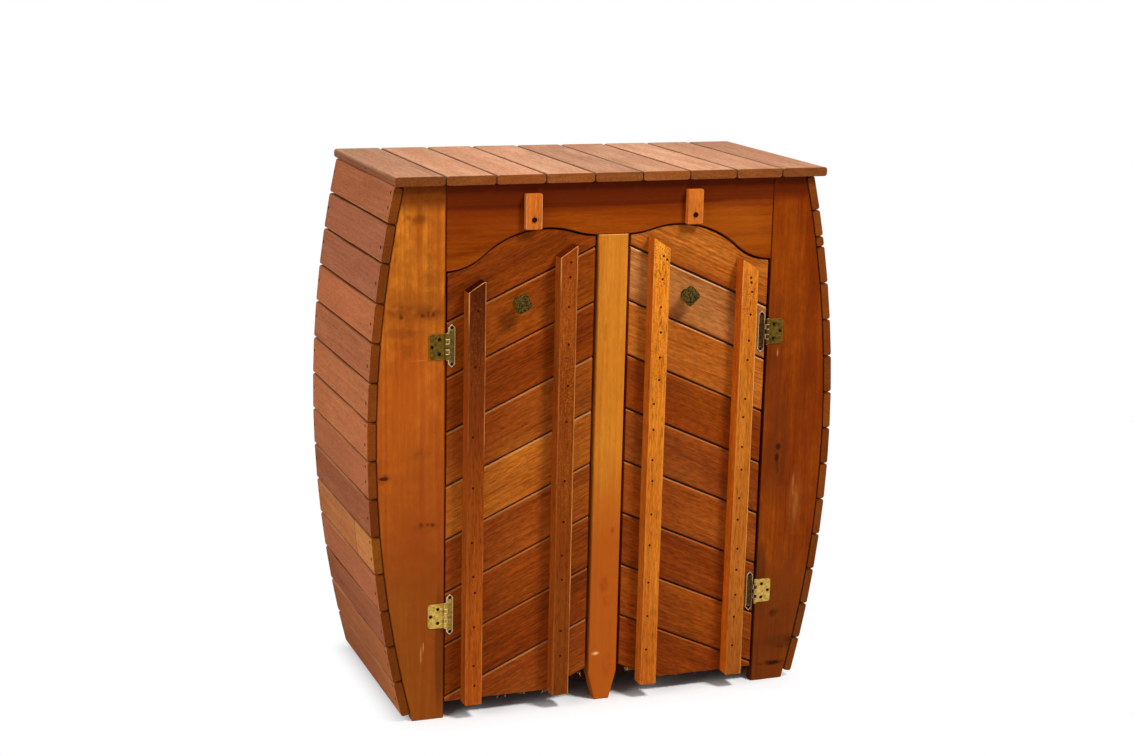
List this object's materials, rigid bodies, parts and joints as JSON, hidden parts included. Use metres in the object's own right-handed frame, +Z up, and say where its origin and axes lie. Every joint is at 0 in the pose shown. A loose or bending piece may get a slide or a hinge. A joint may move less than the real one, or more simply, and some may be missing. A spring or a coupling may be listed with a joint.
{
  "type": "barrel-sided slatted cupboard",
  "caption": "Low free-standing cupboard with barrel-curved slatted sides, a double-arched rail and two diagonally boarded doors on hinges, held shut by turn buttons.",
  "frame": {"origin": "on the floor, under the middle of the whole cupboard", "axes": "+X to the right of someone facing the doors, +Y from the doors to the back, +Z up"},
  "size_m": [0.8203, 0.403, 0.902],
  "materials": {
    "top_wood": "oiled, weathered slatting, reddish brown",
    "slat_wood": "oiled red-brown slatting, dusty",
    "frame_wood": "orange-brown oiled frame timber",
    "door_wood": "dark red-brown oiled boards",
    "batten_wood": "orange-brown oiled battens",
    "inner_wood": "plain sawn timber, unfinished",
    "hinge_brass": "aged brass, olive brown",
    "knob_brass": "antique brass, dark in the hollows",
    "screw_steel": "browned steel"
  },
  "bodies": {
    "carcass": {"back_boards": "inner_wood", "back_bottom_rail": "inner_wood", "back_left_stile": "inner_wood", "back_right_stile": "inner_wood", "back_top_rail": "inner_wood", "centre_post": "frame_wood", "floor_boards": "inner_wood", "floor_cleats": "inner_wood", "floor_front_bearer": "inner_wood", "front_left_stile": "frame_wood", "front_right_stile": "frame_wood", "hinge_pins": "hinge_brass", "left_hinge_frame_leaves": "hinge_brass", "left_side_slats": "slat_wood", "post_backing": "inner_wood", "right_hinge_frame_leaves": "hinge_brass", "right_side_slats": "slat_wood", "top_board_1": "top_wood", "top_board_2": "top_wood", "top_board_3": "top_wood", "top_board_4": "top_wood", "top_board_5": "top_wood", "top_board_6": "top_wood", "top_board_7": "top_wood", "top_board_8": "top_wood", "top_board_9": "top_wood", "top_rail": "frame_wood", "turn_button_screws": "screw_steel"},
    "left_door": {"left_door_board_1": "door_wood", "left_door_board_2": "door_wood", "left_door_board_3": "door_wood", "left_door_board_4": "door_wood", "left_door_board_5": "door_wood", "left_door_board_6": "door_wood", "left_door_board_7": "door_wood", "left_door_board_8": "door_wood", "left_door_board_9": "door_wood", "left_door_inner_batten": "batten_wood", "left_door_knob": "knob_brass", "left_door_outer_batten": "batten_wood", "left_hinge_door_leaves": "hinge_brass"},
    "right_door": {"right_door_board_1": "door_wood", "right_door_board_2": "door_wood", "right_door_board_3": "door_wood", "right_door_board_4": "door_wood", "right_door_board_5": "door_wood", "right_door_board_6": "door_wood", "right_door_board_7": "door_wood", "right_door_board_8": "door_wood", "right_door_board_9": "door_wood", "right_door_inner_batten": "batten_wood", "right_door_knob": "knob_brass", "right_door_outer_batten": "batten_wood", "right_hinge_door_leaves": "hinge_brass"},
    "left_turn_button": {"left_turn_button": "frame_wood"},
    "right_turn_button": {"right_turn_button": "frame_wood"}
  },
  "joints": [
    {"name": "left_door_hinge", "type": "hinge", "parent": "carcass", "child": "left_door", "pos_m": [-0.2805, -0.1816, 0.4], "axis": [0, 0, -1], "range_deg": [0, 110], "stiffness_Nm_per_rad": 0.1},
    {"name": "right_door_hinge", "type": "hinge", "parent": "carcass", "child": "right_door", "pos_m": [0.2805, -0.1816, 0.4], "axis": [0, 0, 1], "range_deg": [0, 110], "stiffness_Nm_per_rad": 0.1},
    {"name": "left_button_turn", "type": "hinge", "parent": "carcass", "child": "left_turn_button", "pos_m": [-0.141, -0.1785, 0.83], "axis": [0, 1, 0], "continuous": true},
    {"name": "right_button_turn", "type": "hinge", "parent": "carcass", "child": "right_turn_button", "pos_m": [0.137, -0.1785, 0.83], "axis": [0, -1, 0], "continuous": true}
  ]
}
